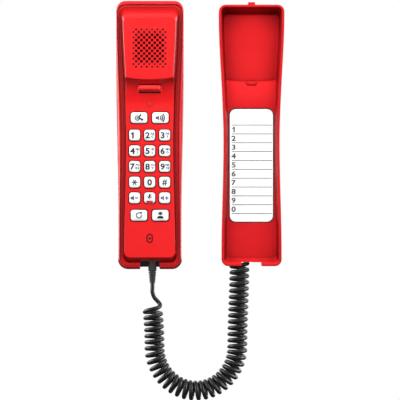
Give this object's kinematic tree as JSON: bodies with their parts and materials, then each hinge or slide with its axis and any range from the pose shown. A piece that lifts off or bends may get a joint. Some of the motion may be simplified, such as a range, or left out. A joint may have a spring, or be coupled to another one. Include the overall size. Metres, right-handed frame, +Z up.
{
  "type": "slimline wall phone",
  "caption": "Shallow waisted wall cradle with a card window, and a matching one-piece handset with its own keypad, grille and hook bar, joined by a curly cord.",
  "frame": {"origin": "midway between the two wall screws, on the back face of the cradle's wall plate, in the plane of the wall", "axes": "+Z up along the cradle, -Y from the wall into the room, +X to the right as seen from the room"},
  "size_m": [0.1338, 0.0305, 0.3188],
  "materials": {
    "red_housing": "polished ABS",
    "red_bar": "polished ABS",
    "white_key": "fine matte",
    "red_lens": "polished",
    "black_plate": "fine texture",
    "black_socket": "fine texture",
    "white_socket": "satin",
    "clear_plug": "clear",
    "black_cord": "satin",
    "black_boot": "satin",
    "grey_rubber": "matte",
    "black_foam": "matte foam",
    "card": "matte card",
    "clear_window": "clear",
    "board": "solder mask",
    "speaker_metal": "satin",
    "steel": "zinc plated"
  },
  "bodies": {
    "base": {"base_shell": "red_housing", "wall_plate": "black_plate", "lock_screw": "steel", "dial_card": "card", "card_window": "clear_window", "line_board": "board", "line_board_screws": "steel", "cord_socket": "black_socket", "line_socket": "white_socket", "base_plug": "clear_plug", "curly_cord": "black_cord"},
    "handset": {"handset_back": "red_housing", "handset_front": "red_housing", "handset_screws": "steel", "main_board": "board", "board_screws": "steel", "keypad_mat": "grey_rubber", "earpiece_speaker": "speaker_metal", "speaker_gasket": "black_foam", "microphone": "steel", "mic_boot": "grey_rubber", "hook_switch": "black_socket", "mute_light": "red_lens", "ring_light": "red_lens", "handset_socket": "black_socket", "handset_plug": "clear_plug", "cord_boot": "black_boot"},
    "key_1": {"key_1": "white_key"},
    "key_2": {"key_2": "white_key"},
    "key_3": {"key_3": "white_key"},
    "key_4": {"key_4": "white_key"},
    "key_5": {"key_5": "white_key"},
    "key_6": {"key_6": "white_key"},
    "key_7": {"key_7": "white_key"},
    "key_8": {"key_8": "white_key"},
    "key_9": {"key_9": "white_key"},
    "key_star": {"key_star": "white_key"},
    "key_0": {"key_0": "white_key"},
    "key_hash": {"key_hash": "white_key"},
    "key_volume_down": {"key_volume_down": "white_key"},
    "key_mute": {"key_mute": "white_key"},
    "key_volume_up": {"key_volume_up": "white_key"},
    "key_line": {"key_line": "white_key"},
    "key_speaker": {"key_speaker": "white_key"},
    "key_redial": {"key_redial": "white_key"},
    "key_service": {"key_service": "white_key"},
    "hook_bar": {"hook_bar": "red_bar"}
  },
  "joints": [
    {"name": "handset_lift", "type": "slide", "parent": "base", "child": "handset", "axis": [0, -1, 0], "range_m": [0, 0.08], "deforming": ["curly_cord"]},
    {"name": "key_1_press", "type": "slide", "parent": "handset", "child": "key_1", "axis": [0, 1, 0], "range_m": [0, 0.0008], "stiffness_N_per_m": 900},
    {"name": "key_2_press", "type": "slide", "parent": "handset", "child": "key_2", "axis": [0, 1, 0], "range_m": [0, 0.0008], "stiffness_N_per_m": 900},
    {"name": "key_3_press", "type": "slide", "parent": "handset", "child": "key_3", "axis": [0, 1, 0], "range_m": [0, 0.0008], "stiffness_N_per_m": 900},
    {"name": "key_4_press", "type": "slide", "parent": "handset", "child": "key_4", "axis": [0, 1, 0], "range_m": [0, 0.0008], "stiffness_N_per_m": 900},
    {"name": "key_5_press", "type": "slide", "parent": "handset", "child": "key_5", "axis": [0, 1, 0], "range_m": [0, 0.0008], "stiffness_N_per_m": 900},
    {"name": "key_6_press", "type": "slide", "parent": "handset", "child": "key_6", "axis": [0, 1, 0], "range_m": [0, 0.0008], "stiffness_N_per_m": 900},
    {"name": "key_7_press", "type": "slide", "parent": "handset", "child": "key_7", "axis": [0, 1, 0], "range_m": [0, 0.0008], "stiffness_N_per_m": 900},
    {"name": "key_8_press", "type": "slide", "parent": "handset", "child": "key_8", "axis": [0, 1, 0], "range_m": [0, 0.0008], "stiffness_N_per_m": 900},
    {"name": "key_9_press", "type": "slide", "parent": "handset", "child": "key_9", "axis": [0, 1, 0], "range_m": [0, 0.0008], "stiffness_N_per_m": 900},
    {"name": "key_star_press", "type": "slide", "parent": "handset", "child": "key_star", "axis": [0, 1, 0], "range_m": [0, 0.0008], "stiffness_N_per_m": 900},
    {"name": "key_0_press", "type": "slide", "parent": "handset", "child": "key_0", "axis": [0, 1, 0], "range_m": [0, 0.0008], "stiffness_N_per_m": 900},
    {"name": "key_hash_press", "type": "slide", "parent": "handset", "child": "key_hash", "axis": [0, 1, 0], "range_m": [0, 0.0008], "stiffness_N_per_m": 900},
    {"name": "key_volume_down_press", "type": "slide", "parent": "handset", "child": "key_volume_down", "axis": [0, 1, 0], "range_m": [0, 0.0008], "stiffness_N_per_m": 900},
    {"name": "key_mute_press", "type": "slide", "parent": "handset", "child": "key_mute", "axis": [0, 1, 0], "range_m": [0, 0.0008], "stiffness_N_per_m": 900},
    {"name": "key_volume_up_press", "type": "slide", "parent": "handset", "child": "key_volume_up", "axis": [0, 1, 0], "range_m": [0, 0.0008], "stiffness_N_per_m": 900},
    {"name": "key_line_press", "type": "slide", "parent": "handset", "child": "key_line", "axis": [0, 1, 0], "range_m": [0, 0.0008], "stiffness_N_per_m": 900},
    {"name": "key_speaker_press", "type": "slide", "parent": "handset", "child": "key_speaker", "axis": [0, 1, 0], "range_m": [0, 0.0008], "stiffness_N_per_m": 900},
    {"name": "key_redial_press", "type": "slide", "parent": "handset", "child": "key_redial", "axis": [0, 1, 0], "range_m": [0, 0.0008], "stiffness_N_per_m": 900},
    {"name": "key_service_press", "type": "slide", "parent": "handset", "child": "key_service", "axis": [0, 1, 0], "range_m": [0, 0.0008], "stiffness_N_per_m": 900},
    {"name": "hook_bar_press", "type": "slide", "parent": "handset", "child": "hook_bar", "axis": [0, 1, 0], "range_m": [0, 0.002], "stiffness_N_per_m": 300}
  ]
}
